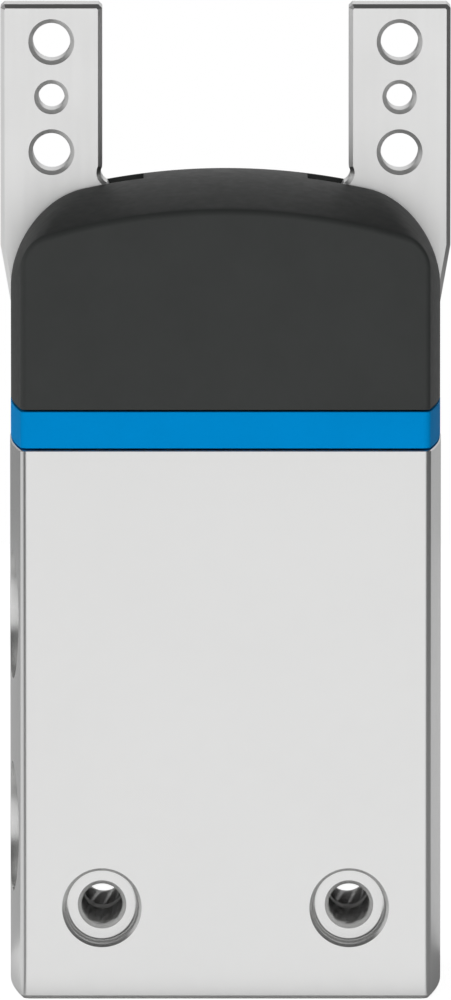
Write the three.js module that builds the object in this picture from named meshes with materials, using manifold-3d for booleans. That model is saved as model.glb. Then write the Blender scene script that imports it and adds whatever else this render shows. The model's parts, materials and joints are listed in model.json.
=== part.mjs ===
// A radial pneumatic gripper: a double-acting cylinder in an aluminium housing, whose piston rod
// lifts a slotted driver that swings two jaws outwards through 90 degrees each.
// Millimetres, +Z up towards the jaws, the front face looks along -Y. The origin is the centre of
// the bottom mounting face, and the jaws stand upright (closed) at rest.

import * as THREE from "three";
import { mergeVertices } from "three/addons/utils/BufferGeometryUtils.js";
import Module from "manifold-3d";

// ---------------------------------------------------------------- driving dimensions

// Housing: a profile with flat front and back and gently bulged sides.
const DEPTH = 40;
const HALF_WIDTH = 26.3;
const SIDE_RADIUS = 134;
const EDGE_FILLET = 0.95;
const HOUSING_TOP = 66.9;
const BASE_CHAMFER = 0.45;

// Cylinder, with a groove near its top for the ring that holds the bearing cap.
const BORE_RADIUS = 16;
const BORE_FLOOR = 15.5;
const SNAP_GROOVE = { radius: 17, bottom: 57.9, top: 59.4 };

// Cross holes that fasten the housing, with centring recesses at both ends.
const MOUNT_X = 15;
const MOUNT_Z = 11.17;
const MOUNT_BORE_RADIUS = 2.55;
const RECESS_RADIUS = 4.5;
const RECESS_DEPTH = 3.2;

// Threaded holes in the bottom face, with recesses for centring sleeves.
const BASE_HOLE = { x: 9, y: 12, radius: 2.1, depth: 10, recess: 3.5, recessDepth: 1.6 };

// Air ports on the left side.
const PORT_Y = -10.1;
const PORT_HEIGHTS = [20, 46];
const PORT_FACE_RADIUS = 7.9;
const PORT_FACE_X = -24;
const PORT_THREAD_RADIUS = 4.4;
const PORT_THREAD_END_X = -16.8;
const PORT_CHANNEL_RADIUS = 2.2;

// Sensor slots, the full height of both sides: a round channel with a narrower mouth.
const SENSOR_SLOT = { x: 22.7, y: 10, radius: 2.6, mouth: 1.5 };

// Coloured ring and cover above the housing.
const RING_INSET = 0.09;
const SEAM_GAP = 0.25;
const RING_TOP = 71.6;
const COVER_BOTTOM = RING_TOP + SEAM_GAP;
const COVER_TOP = 99.32;
const COVER_TOP_RADIUS = 80;
const COVER_CROWN_RADIUS = 60;
const SHOULDER_RADIUS = 12;
const COVER_WALL = 1.6;
const SLOT_INNER_X = 10;

// Jaws: flat levers that turn on a pin inside the cover.
const PIVOT_X = 14;
const PIVOT_Z = 85.6;
const JAW_THICKNESS = 6.5;
const JAW_OUTER_X = 27.4;
const JAW_INNER_X = 15.03;
const JAW_TOP = 119.76;
const JAW_CHAMFER = 0.5;
const JAW_CORNER = 0.45;
const TAPER_START_Z = 90.4;
const TAPER_END = { x: 26.02, z: 82.6 };
const HUB_RADIUS = 11.3;
const NOTCH = { x: 13.9, z: 99.2, radius: 1.32 };
const LIP = { x: 14.45, z: 98.0 };
const FINGER_HOLE_X = 21.19;
const FINGER_HOLE_MID_Z = 108.45;
const FINGER_HOLE_PITCH = 6.72;
const FINGER_HOLE_RADIUS = 2.3;
const FINGER_PIN_HOLE_RADIUS = 1.6;
const JAW_SLOT = JAW_THICKNESS + 0.7;
const JAW_ARC_STEPS = 9;

// Lever drive: a pin in each hub rides in a slot of the driver.
const LEVER = 8.5;
const JAW_SWING = Math.PI / 2;
const STROKE = 2 * LEVER * Math.sin(JAW_SWING / 2);
const DRIVE_PIN_RADIUS = 1.95;
const PIN_FIT = 0.1;
const DRIVE_SLOT_HALF_HEIGHT = 2.35;
const DRIVE_SLOT_INNER_X = 3;
const DRIVE_PIN_X = PIVOT_X - LEVER * Math.cos(JAW_SWING / 2);
const DRIVE_PIN_Z = PIVOT_Z - STROKE / 2;
const PIVOT_PIN_RADIUS = 3;
const BUSH_RADIUS = 4.2;

// Driver.
const PLATE_INNER_Y = 3.75;
const PLATE_OUTER_Y = 6.75;
const PLATE_HALF_WIDTH = 10.4;
const STEM_HALF_WIDTH = 5.8;
const BRIDGE_BOTTOM = 60.2;
const BRIDGE_TOP = 65;
const DRIVER_EDGE = 0.25;
const DRIVER_SCREW_HOLE = 1.95;

// Guide block inside the cover.
const BLOCK_BOTTOM = HOUSING_TOP + SEAM_GAP;
const BLOCK_FLOOR = 71.6;
const BLOCK_HALF = { x: 22.5, y: 16.9 };
const BLOCK_CORNER = 2;
const CHEEK_HALF_WIDTH = 20.5;
const CHEEK_OUTER_Y = 9.4;
const CHEEK_TOP = 94;
const CHEEK_CORNER = { x: 16, z: 88 };
const BLOCK_SCREW = { x: 18.5, y: 13.2, hole: 2, seatRadius: 3, seat: 69.6 };
const BLOCK_THREAD = { radius: 1.65, depth: 8.5 };
const DOWEL = { x: 19.5, y: -5, radius: 1.5, hole: 1.6, bottom: 62.2, top: 70.4 };

// Piston and rod.
const PISTON = { bottom: 16.4, bandBottom: 22, top: 31.8, radius: 15.8, skirtRadius: 13.4 };
const PISTON_GROOVES = [
  { radius: 13, bottom: 22.8, top: 25 },
  { radius: 12.8, bottom: 25.8, top: 28 },
  { radius: 13, bottom: 28.8, top: 31 },
];
const SEAL_RADIUS = 15.9;
const MAGNET_RADIUS = 15.5;
const SCREW_RECESS = { radius: 5.3, top: 20.6 };
const ROD_RADIUS = 4;
const SPIGOT_RADIUS = 3;
const SPIGOT_BOTTOM = 20.8;
const PISTON_THREAD = { radius: 2.1, top: 30 };
const DRIVER_THREAD = { radius: 1.8, depth: 11 };
const FIT = 0.15;

// Bearing cap that closes the cylinder: neck, flange with a seal groove, pockets for seal and bush.
const CAP = { bottom: 44.5, flangeBottom: 49.5, top: 57.6, neckRadius: 13.6, radius: 15.85 };
const CAP_GROOVE = { radius: 14.2, bottom: 52, top: 54.2 };
const SEAL_POCKET = { radius: 6.6, top: 48.6 };
const BUSH_POCKET = { radius: 5.7, bottom: 49.4 };
const ROD_PASSAGE_RADIUS = 4.2;
const CAP_SEAL = { radius: 15.05, section: 0.75 };
const ROD_SEAL_FRONT = 45.6;

// Internal retaining ring with its gap towards the back and an eye on each side of the gap.
const RETAINER = { inner: 14.6, outer: 16.75, gap: 3.2 };
const RETAINER_EYE = { x: 4.4, y: 13.6, radius: 1.7, hole: 0.8 };

// Overshoot of a cutter, and the sides given to large, middling and small round shapes.
const EPS = 0.5;
const FINE = 24;
const ROUND = 20;
const SMALL = 12;
const PLAN_STEPS = 4;

// ---------------------------------------------------------------- materials

const material = (color, roughness, metalness) =>
  new THREE.MeshStandardMaterial({ color, roughness, metalness });

const anodised = material(0xd6d6d6, 0.42, 0.9);
const jawSteel = material(0xd2d2d2, 0.36, 0.95);
const coverPlastic = material(0x3a3c3b, 0.55, 0);
const ringPlastic = material(0x0086ca, 0.45, 0);
const machinedAluminium = material(0xbfc1c2, 0.4, 0.9);
const groundSteel = material(0xc4c6c8, 0.22, 1);
const blackSteel = material(0x2b2c2e, 0.45, 0.8);
const sealRubber = material(0x1b1b1c, 0.75, 0);
const bronze = material(0xa8804a, 0.4, 0.9);
const magnetBlack = material(0x38393b, 0.6, 0.1);

// ---------------------------------------------------------------- solid helpers

const wasm = await Module();
wasm.setup();

function solidOf(geometry) {
  const bare = geometry.clone();
  bare.deleteAttribute("normal");
  bare.deleteAttribute("uv");
  const merged = mergeVertices(bare, 1e-4);
  return new wasm.Manifold(
    new wasm.Mesh({
      numProp: 3,
      vertProperties: new Float32Array(merged.attributes.position.array),
      triVerts: new Uint32Array(merged.index.array),
    }),
  );
}

function geometryOf(solid) {
  const mesh = solid.getMesh();
  const geometry = new THREE.BufferGeometry();
  geometry.setAttribute("position", new THREE.BufferAttribute(mesh.vertProperties, 3));
  geometry.setIndex(new THREE.BufferAttribute(mesh.triVerts, 1));
  const flat = geometry.toNonIndexed();
  flat.computeVertexNormals();
  return flat;
}

const join = (...solids) => solids.reduce((sum, next) => sum.add(next));
const cut = (solid, ...tools) => tools.reduce((left, tool) => left.subtract(tool), solid);

// A box between two corners.
function box(low, high) {
  const size = high.map((value, i) => value - low[i]);
  const geometry = new THREE.BoxGeometry(...size);
  geometry.translate(...low.map((value, i) => value + size[i] / 2));
  return solidOf(geometry);
}

// A solid of revolution about the line through (x, y) along Z; the profile lists [radius, z].
function turnedZ(profile, segments = FINE, x = 0, y = 0) {
  const points = profile.map(([radius, z]) => new THREE.Vector2(radius, z));
  const geometry = new THREE.LatheGeometry(points, segments);
  geometry.rotateX(Math.PI / 2);
  geometry.translate(x, y, 0);
  return solidOf(geometry);
}

// A solid of revolution about the line through (x, z) along Y; the profile lists [radius, y].
function turnedY(profile, segments, x, z) {
  const points = profile.map(([radius, y]) => new THREE.Vector2(radius, y));
  const geometry = new THREE.LatheGeometry(points, segments);
  geometry.translate(x, 0, z);
  return solidOf(geometry);
}

const rodProfile = (radius, from, to) => [
  [0, from],
  [radius, from],
  [radius, to],
  [0, to],
];

const ringProfile = (inner, outer, from, to) => [
  [inner, from],
  [outer, from],
  [outer, to],
  [inner, to],
  [inner, from],
];

const rodZ = (radius, from, to, x = 0, y = 0, segments = SMALL) =>
  turnedZ(rodProfile(radius, from, to), segments, x, y);

const rodY = (radius, from, to, x, z, segments = SMALL) =>
  turnedY(rodProfile(radius, from, to), segments, x, z);

function rodX(radius, from, to, y, z, segments = ROUND) {
  const geometry = new THREE.CylinderGeometry(radius, radius, to - from, segments);
  geometry.rotateZ(Math.PI / 2);
  geometry.translate((from + to) / 2, y, z);
  return solidOf(geometry);
}

// An outline in X and Y, extruded along Z.
function prismZ(shape, from, to, curveSegments = PLAN_STEPS) {
  const geometry = new THREE.ExtrudeGeometry(shape, {
    depth: to - from,
    bevelEnabled: false,
    curveSegments,
  });
  geometry.translate(0, 0, from);
  return solidOf(geometry);
}

// An outline in X and Z, extruded along Y and chamfered all round by the given amount.
function prismY(shape, from, to, chamfer = 0, curveSegments = PLAN_STEPS) {
  const geometry = new THREE.ExtrudeGeometry(shape, {
    depth: to - from - 2 * chamfer,
    bevelEnabled: chamfer > 0,
    bevelThickness: chamfer,
    bevelSize: chamfer,
    bevelOffset: -chamfer,
    bevelSegments: 1,
    curveSegments,
  });
  geometry.rotateX(Math.PI / 2);
  geometry.translate(0, to - chamfer, 0);
  return solidOf(geometry);
}

// ---------------------------------------------------------------- shared outlines

// The housing's plan: flat front and back, bulged sides, filleted edges, moved in by inset.
function planShape(inset = 0, fillet = EDGE_FILLET) {
  const halfDepth = DEPTH / 2 - inset;
  const radius = SIDE_RADIUS - inset;
  const centreX = SIDE_RADIUS - HALF_WIDTH;
  const filletY = halfDepth - fillet;
  const reach = Math.sqrt((radius - fillet) ** 2 - filletY ** 2);
  const filletX = reach - centreX;
  const angle = Math.atan2(filletY, reach);
  const quarter = Math.PI / 2;
  const shape = new THREE.Shape();
  shape.moveTo(-filletX, -halfDepth);
  shape.lineTo(filletX, -halfDepth);
  shape.absarc(filletX, -filletY, fillet, -quarter, -angle, false);
  shape.absarc(-centreX, 0, radius, -angle, angle, false);
  shape.absarc(filletX, filletY, fillet, angle, quarter, false);
  shape.lineTo(-filletX, halfDepth);
  shape.absarc(-filletX, filletY, fillet, quarter, Math.PI - angle, false);
  shape.absarc(centreX, 0, radius, Math.PI - angle, Math.PI + angle, false);
  shape.absarc(-filletX, -filletY, fillet, Math.PI + angle, 3 * quarter, false);
  return shape;
}

function roundedRectangle(halfX, halfY, radius) {
  const quarter = Math.PI / 2;
  const shape = new THREE.Shape();
  shape.absarc(halfX - radius, -halfY + radius, radius, -quarter, 0, false);
  shape.absarc(halfX - radius, halfY - radius, radius, 0, quarter, false);
  shape.absarc(-halfX + radius, halfY - radius, radius, quarter, 2 * quarter, false);
  shape.absarc(-halfX + radius, -halfY + radius, radius, 2 * quarter, 3 * quarter, false);
  return shape;
}

// ---------------------------------------------------------------- housing

// The cutter for one cross hole: recess, threaded bore, relief in the middle, recess.
function crossHoleProfile() {
  const face = DEPTH / 2;
  const rim = 0.33;
  const entry = 0.4;
  const floor = face - RECESS_DEPTH;
  const relief = { radius: 3.1, from: -1.2, to: 2.6 };
  return [
    [0, -face - EPS],
    [RECESS_RADIUS + rim + EPS, -face - EPS],
    [RECESS_RADIUS, -face + rim],
    [RECESS_RADIUS, -floor],
    [MOUNT_BORE_RADIUS + entry, -floor],
    [MOUNT_BORE_RADIUS, -floor + entry],
    [MOUNT_BORE_RADIUS, relief.from],
    [relief.radius, relief.from],
    [relief.radius, relief.to],
    [MOUNT_BORE_RADIUS, relief.to],
    [MOUNT_BORE_RADIUS, floor - entry],
    [MOUNT_BORE_RADIUS + entry, floor],
    [RECESS_RADIUS, floor],
    [RECESS_RADIUS, face - rim],
    [RECESS_RADIUS + rim + EPS, face + EPS],
    [0, face + EPS],
  ];
}

function portCutter(z) {
  const outside = -HALF_WIDTH - 1;
  const insideBore = -BORE_RADIUS + 7;
  return join(
    rodX(PORT_FACE_RADIUS, outside, PORT_FACE_X, PORT_Y, z),
    rodX(PORT_THREAD_RADIUS, PORT_FACE_X - EPS, PORT_THREAD_END_X, PORT_Y, z),
    rodX(PORT_CHANNEL_RADIUS, PORT_THREAD_END_X - EPS, insideBore, PORT_Y, z, SMALL),
  );
}

function sensorSlotCutter(side) {
  const { y, radius, mouth } = SENSOR_SLOT;
  const x = side * SENSOR_SLOT.x;
  const mouthX = side * (HALF_WIDTH + 1);
  const top = HOUSING_TOP + EPS;
  return join(
    rodZ(radius, -EPS, top, x, y),
    box([Math.min(x, mouthX), y - mouth, -EPS], [Math.max(x, mouthX), y + mouth, top]),
  );
}

function baseHoleCutter(x, y) {
  const { radius, depth, recess, recessDepth } = BASE_HOLE;
  return join(rodZ(radius, -EPS, depth, x, y), rodZ(recess, -EPS, recessDepth, x, y, ROUND));
}

function makeHousing() {
  const chamfered = new THREE.ExtrudeGeometry(planShape(), {
    depth: HOUSING_TOP,
    bevelThickness: BASE_CHAMFER,
    bevelSize: BASE_CHAMFER,
    bevelOffset: -BASE_CHAMFER,
    bevelSegments: 1,
    curveSegments: PLAN_STEPS,
  });
  chamfered.translate(0, 0, BASE_CHAMFER);
  const above = box([-DEPTH, -DEPTH, HOUSING_TOP], [DEPTH, DEPTH, HOUSING_TOP + 2]);
  const top = HOUSING_TOP + EPS;
  const bore = turnedZ([
    [0, BORE_FLOOR],
    [BORE_RADIUS, BORE_FLOOR],
    [BORE_RADIUS, SNAP_GROOVE.bottom],
    [SNAP_GROOVE.radius, SNAP_GROOVE.bottom],
    [SNAP_GROOVE.radius, SNAP_GROOVE.top],
    [BORE_RADIUS, SNAP_GROOVE.top],
    [BORE_RADIUS, top],
    [0, top],
  ]);
  const tools = [above, bore];
  for (const z of PORT_HEIGHTS) tools.push(portCutter(z));
  for (const side of [-1, 1]) {
    tools.push(turnedY(crossHoleProfile(), FINE, side * MOUNT_X, MOUNT_Z));
    tools.push(sensorSlotCutter(side));
    tools.push(rodZ(DOWEL.hole, DOWEL.bottom - FIT, top, side * DOWEL.x, DOWEL.y));
    for (const end of [-1, 1]) {
      const x = side * BLOCK_SCREW.x;
      const y = end * BLOCK_SCREW.y;
      tools.push(rodZ(BLOCK_THREAD.radius, HOUSING_TOP - BLOCK_THREAD.depth, top, x, y));
      tools.push(baseHoleCutter(side * BASE_HOLE.x, end * BASE_HOLE.y));
    }
  }
  return cut(solidOf(chamfered), ...tools);
}

// ---------------------------------------------------------------- ring and cover

function makeRing() {
  const gap = 2 * FIT;
  const shape = planShape(RING_INSET);
  const opening = roundedRectangle(BLOCK_HALF.x + gap, BLOCK_HALF.y + gap, BLOCK_CORNER + gap);
  shape.holes.push(opening);
  return prismZ(shape, HOUSING_TOP + SEAM_GAP, RING_TOP);
}

// The front view of the cover: upright sides that turn into round shoulders.
function shoulderShape(inset, from) {
  const halfWidth = HALF_WIDTH - RING_INSET - inset;
  const radius = SHOULDER_RADIUS - inset;
  const centreX = halfWidth - radius;
  const centreZ = COVER_TOP - COVER_TOP_RADIUS
    + Math.sqrt((COVER_TOP_RADIUS - SHOULDER_RADIUS) ** 2 - centreX ** 2);
  const shape = new THREE.Shape();
  shape.moveTo(-halfWidth, from);
  shape.lineTo(halfWidth, from);
  shape.absarc(centreX, centreZ, radius, 0, Math.PI / 2, false);
  shape.lineTo(centreX, COVER_TOP + 1);
  shape.lineTo(-centreX, COVER_TOP + 1);
  shape.absarc(-centreX, centreZ, radius, Math.PI / 2, Math.PI, false);
  return shape;
}

// The barrel whose upper side is the cover's domed top: an arc across, a flatter arc front to back.
function crownBarrel(inset) {
  const steps = 8;
  const reach = DEPTH / 2 + 1;
  const profile = [];
  for (let i = 0; i <= steps; i++) {
    const y = reach * (2 * (i / steps) - 1);
    profile.push([COVER_TOP_RADIUS - inset - (y * y) / (2 * COVER_CROWN_RADIUS), y]);
  }
  const ends = [[0, -reach], ...profile, [0, reach]];
  return turnedY(ends, 96, 0, COVER_TOP - COVER_TOP_RADIUS);
}

function coverForm(inset, from) {
  const reach = DEPTH / 2 + 1;
  const column = prismZ(planShape(RING_INSET + inset), from, COVER_TOP + 1);
  const shoulders = prismY(shoulderShape(inset, from), -reach, reach, 0, 8);
  return column.intersect(shoulders).intersect(crownBarrel(inset));
}

function makeCover() {
  const half = JAW_SLOT / 2;
  const bottom = COVER_BOTTOM - 1;
  return cut(
    coverForm(0, COVER_BOTTOM),
    coverForm(COVER_WALL, bottom),
    box([-DEPTH, -half, bottom], [-SLOT_INNER_X, half, COVER_TOP + 1]),
    box([SLOT_INNER_X, -half, bottom], [DEPTH, half, COVER_TOP + 1]),
  );
}

// ---------------------------------------------------------------- guide block and its fasteners

function makeGuideBlock() {
  const plan = roundedRectangle(BLOCK_HALF.x, BLOCK_HALF.y, BLOCK_CORNER);
  const base = prismZ(plan, BLOCK_BOTTOM, BLOCK_FLOOR);
  const cheek = new THREE.Shape([
    new THREE.Vector2(-CHEEK_HALF_WIDTH, BLOCK_FLOOR - EPS),
    new THREE.Vector2(CHEEK_HALF_WIDTH, BLOCK_FLOOR - EPS),
    new THREE.Vector2(CHEEK_HALF_WIDTH, CHEEK_CORNER.z),
    new THREE.Vector2(CHEEK_CORNER.x, CHEEK_TOP),
    new THREE.Vector2(-CHEEK_CORNER.x, CHEEK_TOP),
    new THREE.Vector2(-CHEEK_HALF_WIDTH, CHEEK_CORNER.z),
  ]);
  const cheeks = prismY(cheek, -CHEEK_OUTER_Y, CHEEK_OUTER_Y);
  const window = { x: PLATE_HALF_WIDTH + 0.5, y: PLATE_OUTER_Y + 0.35 };
  const passage = STEM_HALF_WIDTH + 0.5;
  const half = JAW_SLOT / 2;
  const below = BLOCK_BOTTOM - EPS;
  const top = CHEEK_TOP + EPS;
  const tools = [
    box([-DEPTH, -half, BLOCK_FLOOR], [DEPTH, half, top]),
    box([-window.x, -window.y, BLOCK_FLOOR], [window.x, window.y, top]),
    box([-passage, -window.y, below], [passage, window.y, top]),
  ];
  for (const side of [-1, 1]) {
    const reach = CHEEK_OUTER_Y + EPS;
    tools.push(rodY(PIVOT_PIN_RADIUS + FIT, -reach, reach, side * PIVOT_X, PIVOT_Z, ROUND));
    tools.push(rodZ(DOWEL.hole, below, DOWEL.top + FIT, side * DOWEL.x, DOWEL.y));
    for (const end of [-1, 1]) {
      const x = side * BLOCK_SCREW.x;
      const y = end * BLOCK_SCREW.y;
      tools.push(rodZ(BLOCK_SCREW.hole, below, BLOCK_FLOOR + EPS, x, y));
      tools.push(rodZ(BLOCK_SCREW.seatRadius, BLOCK_SCREW.seat, BLOCK_FLOOR + EPS, x, y, ROUND));
    }
  }
  return cut(join(base, cheeks), ...tools);
}

// A socket head cap screw along Z, head up: shank and chamfered head with a hexagon socket.
function capScrew({ shank, head, height, socket, tip, seat }, x = 0, y = 0) {
  const edge = 0.3;
  const body = turnedZ([
    [0, tip],
    [shank, tip],
    [shank, seat],
    [head, seat],
    [head, seat + height - edge],
    [head - edge, seat + height],
    [0, seat + height],
  ], ROUND, x, y);
  return cut(body, rodZ(socket, seat + height / 2, seat + height + EPS, x, y, 6));
}

// ---------------------------------------------------------------- cylinder parts

function makeBearingCap() {
  return turnedZ([
    [SEAL_POCKET.radius, CAP.bottom],
    [CAP.neckRadius, CAP.bottom],
    [CAP.neckRadius, CAP.flangeBottom],
    [CAP.radius, CAP.flangeBottom],
    [CAP.radius, CAP_GROOVE.bottom],
    [CAP_GROOVE.radius, CAP_GROOVE.bottom],
    [CAP_GROOVE.radius, CAP_GROOVE.top],
    [CAP.radius, CAP_GROOVE.top],
    [CAP.radius, CAP.top],
    [BUSH_POCKET.radius, CAP.top],
    [BUSH_POCKET.radius, BUSH_POCKET.bottom],
    [ROD_PASSAGE_RADIUS, BUSH_POCKET.bottom],
    [ROD_PASSAGE_RADIUS, SEAL_POCKET.top],
    [SEAL_POCKET.radius, SEAL_POCKET.top],
    [SEAL_POCKET.radius, CAP.bottom],
  ]);
}

// A ring of round section about Z.
function oRing(radius, section, z) {
  const geometry = new THREE.TorusGeometry(radius, section, 8, FINE);
  geometry.translate(0, 0, z);
  return solidOf(geometry);
}

// A lip seal with its solid back at one height and a V groove that opens at the other.
function lipSeal(inner, outer, back, front) {
  const middle = (inner + outer) / 2;
  const halfGroove = 0.25;
  const profile = [
    [inner, back],
    [outer - FIT, back],
    [outer, front],
    [middle + halfGroove, front],
    [middle, back + 0.55 * (front - back)],
    [middle - halfGroove, front],
    [inner, front],
    [inner, back],
  ];
  return turnedZ(front > back ? profile : profile.reverse(), FINE);
}

function makeRetainingRing() {
  const bottom = SNAP_GROOVE.bottom + FIT;
  const top = SNAP_GROOVE.top - FIT;
  const { inner, outer, gap } = RETAINER;
  const band = turnedZ(ringProfile(inner, outer, bottom, top));
  const parts = [cut(band, box([-gap, 0, bottom - EPS], [gap, DEPTH / 2, top + EPS]))];
  for (const side of [-1, 1]) {
    const x = side * RETAINER_EYE.x;
    const disc = rodZ(RETAINER_EYE.radius, bottom, top, x, RETAINER_EYE.y);
    const hole = rodZ(RETAINER_EYE.hole, bottom - EPS, top + EPS, x, RETAINER_EYE.y);
    parts.push(cut(disc, hole));
  }
  return join(...parts);
}

function makePiston() {
  const hole = SPIGOT_RADIUS + FIT;
  const grooves = PISTON_GROOVES.flatMap(({ radius, bottom, top }) => [
    [PISTON.radius, bottom],
    [radius, bottom],
    [radius, top],
    [PISTON.radius, top],
  ]);
  return turnedZ([
    [hole, SCREW_RECESS.top],
    [SCREW_RECESS.radius, SCREW_RECESS.top],
    [SCREW_RECESS.radius, PISTON.bottom],
    [PISTON.skirtRadius, PISTON.bottom],
    [PISTON.skirtRadius, PISTON.bandBottom],
    [PISTON.radius, PISTON.bandBottom],
    ...grooves,
    [PISTON.radius, PISTON.top],
    [hole, PISTON.top],
    [hole, SCREW_RECESS.top],
  ]);
}

function makeRod() {
  const shoulder = PISTON.top + FIT;
  const top = BRIDGE_BOTTOM - FIT;
  const edge = 0.5;
  const rod = turnedZ([
    [0, SPIGOT_BOTTOM],
    [SPIGOT_RADIUS, SPIGOT_BOTTOM],
    [SPIGOT_RADIUS, shoulder],
    [ROD_RADIUS, shoulder],
    [ROD_RADIUS, top - edge],
    [ROD_RADIUS - edge, top],
    [0, top],
  ], ROUND);
  return cut(
    rod,
    rodZ(PISTON_THREAD.radius, SPIGOT_BOTTOM - EPS, PISTON_THREAD.top),
    rodZ(DRIVER_THREAD.radius, top - DRIVER_THREAD.depth, top + EPS),
  );
}

// The screw that clamps the piston to the rod, head down in the piston's recess.
function makePistonScrew() {
  const seat = SCREW_RECESS.top - FIT;
  const screw = { shank: 1.95, head: 4.9, height: 3.45, socket: 1.8, tip: -29.4, seat: -seat };
  return capScrew(screw).mirror([0, 0, 1]);
}

// ---------------------------------------------------------------- driver

// A fork of two plates: each plate has a slot open to the left and one open to the right.
function makeDriver() {
  const plate = new THREE.Shape();
  const cornerX = PLATE_HALF_WIDTH - 0.8;
  const stemEnd = DRIVE_PIN_Z - 5.4;
  const armBottom = DRIVE_PIN_Z - 4.15;
  const armTop = DRIVE_PIN_Z + 4.15;
  const slotBottom = DRIVE_PIN_Z - DRIVE_SLOT_HALF_HEIGHT;
  const slotTop = DRIVE_PIN_Z + DRIVE_SLOT_HALF_HEIGHT;
  const flank = 3.4;
  const right = [
    [STEM_HALF_WIDTH, BRIDGE_BOTTOM],
    [STEM_HALF_WIDTH, stemEnd],
    [cornerX, armBottom],
    [PLATE_HALF_WIDTH, DRIVE_PIN_Z - flank],
    [PLATE_HALF_WIDTH, slotBottom],
    [DRIVE_SLOT_INNER_X, slotBottom],
    [DRIVE_SLOT_INNER_X, slotTop],
    [PLATE_HALF_WIDTH, slotTop],
    [PLATE_HALF_WIDTH, DRIVE_PIN_Z + flank],
    [cornerX, armTop],
  ];
  right.forEach(([x, height], i) => {
    if (i === 0) plate.moveTo(x, height);
    else plate.lineTo(x, height);
  });
  right.reverse().forEach(([x, height]) => plate.lineTo(-x, height));
  const front = prismY(plate, -PLATE_OUTER_Y, -PLATE_INNER_Y, DRIVER_EDGE);
  const back = prismY(plate, PLATE_INNER_Y, PLATE_OUTER_Y, DRIVER_EDGE);
  const half = { x: STEM_HALF_WIDTH - DRIVER_EDGE, y: PLATE_OUTER_Y - 2 * DRIVER_EDGE };
  const bridge = box([-half.x, -half.y, BRIDGE_BOTTOM], [half.x, half.y, BRIDGE_TOP]);
  const screwHole = rodZ(DRIVER_SCREW_HOLE, BRIDGE_BOTTOM - EPS, BRIDGE_TOP + EPS);
  return cut(join(front, back, bridge), screwHole);
}

// ---------------------------------------------------------------- jaws

// The left jaw's outline in X and Z, clockwise from its outer top corner.
function jawOutline() {
  const start = Math.atan2(
    Math.sqrt(NOTCH.radius ** 2 - (JAW_INNER_X - NOTCH.x) ** 2),
    NOTCH.x - JAW_INNER_X,
  );
  const end = Math.atan2(LIP.z - NOTCH.z, NOTCH.x - LIP.x);
  const hubTop = (89 * Math.PI) / 180;
  const hubBack = (-140 * Math.PI) / 180;
  const path = new THREE.Path();
  path.moveTo(-JAW_OUTER_X, JAW_TOP - JAW_CORNER);
  path.lineTo(-JAW_OUTER_X + JAW_CORNER, JAW_TOP);
  path.lineTo(-JAW_INNER_X - JAW_CORNER, JAW_TOP);
  path.lineTo(-JAW_INNER_X, JAW_TOP - JAW_CORNER);
  path.absarc(-NOTCH.x, NOTCH.z, NOTCH.radius, start, end + 2 * Math.PI, false);
  path.absarc(-PIVOT_X, PIVOT_Z, HUB_RADIUS, hubTop, hubBack, true);
  path.lineTo(-TAPER_END.x, TAPER_END.z);
  path.lineTo(-JAW_OUTER_X, TAPER_START_Z);
  return path.getPoints(JAW_ARC_STEPS);
}

function circlePoints(x, z, radius) {
  return new THREE.Path().absarc(x, z, radius, 0, 2 * Math.PI, false).getPoints(JAW_ARC_STEPS);
}

function makeJaw(side) {
  const mirrored = (points) => points.map((p) => new THREE.Vector2(-side * p.x, p.y));
  const shape = new THREE.Shape(mirrored(jawOutline()));
  for (const step of [-1, 0, 1]) {
    const radius = step === 0 ? FINGER_PIN_HOLE_RADIUS : FINGER_HOLE_RADIUS;
    const z = FINGER_HOLE_MID_Z + step * FINGER_HOLE_PITCH;
    const hole = new THREE.Path(mirrored(circlePoints(-FINGER_HOLE_X, z, radius)));
    shape.holes.push(hole);
  }
  const plate = prismY(shape, -JAW_THICKNESS / 2, JAW_THICKNESS / 2, JAW_CHAMFER);
  const reach = JAW_THICKNESS;
  return cut(
    plate,
    rodY(BUSH_RADIUS + FIT, -reach, reach, side * PIVOT_X, PIVOT_Z, ROUND),
    rodY(DRIVE_PIN_RADIUS + PIN_FIT, -reach, reach, side * DRIVE_PIN_X, DRIVE_PIN_Z, ROUND),
  );
}

function makeBush(side) {
  const profile = ringProfile(
    PIVOT_PIN_RADIUS + FIT, BUSH_RADIUS, -JAW_THICKNESS / 2, JAW_THICKNESS / 2,
  );
  return turnedY(profile, ROUND, side * PIVOT_X, PIVOT_Z);
}

// A pin along Y with chamfered ends.
function pinY(radius, half, x, z) {
  const edge = 0.4;
  return turnedY([
    [0, -half],
    [radius - edge, -half],
    [radius, -half + edge],
    [radius, half - edge],
    [radius - edge, half],
    [0, half],
  ], ROUND, x, z);
}

// ---------------------------------------------------------------- assembly

const gripper = new THREE.Group();

function place(name, solid, finish, parent = gripper) {
  const mesh = new THREE.Mesh(geometryOf(solid), finish);
  mesh.name = name;
  parent.add(mesh);
}

const body = new THREE.Group();
gripper.add(body);
place("housing", makeHousing(), anodised, body);
place("accent_ring", makeRing(), ringPlastic, body);
place("cover", makeCover(), coverPlastic, body);
place("guide_block", makeGuideBlock(), machinedAluminium, body);
place("bearing_cap", makeBearingCap(), machinedAluminium, body);
const capGrooveMiddle = (CAP_GROOVE.bottom + CAP_GROOVE.top) / 2;
const capSeal = oRing(CAP_SEAL.radius, CAP_SEAL.section, capGrooveMiddle);
place("bearing_cap_seal", capSeal, sealRubber, body);
const bushWall = [ROD_RADIUS + FIT, BUSH_POCKET.radius - FIT];
const bushEnds = [BUSH_POCKET.bottom + FIT, CAP.top - FIT];
place("rod_bush", turnedZ(ringProfile(...bushWall, ...bushEnds), ROUND), bronze, body);
const rodSealWall = [ROD_RADIUS + FIT, SEAL_POCKET.radius - FIT];
const rodSeal = lipSeal(...rodSealWall, SEAL_POCKET.top - FIT, ROD_SEAL_FRONT);
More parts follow.
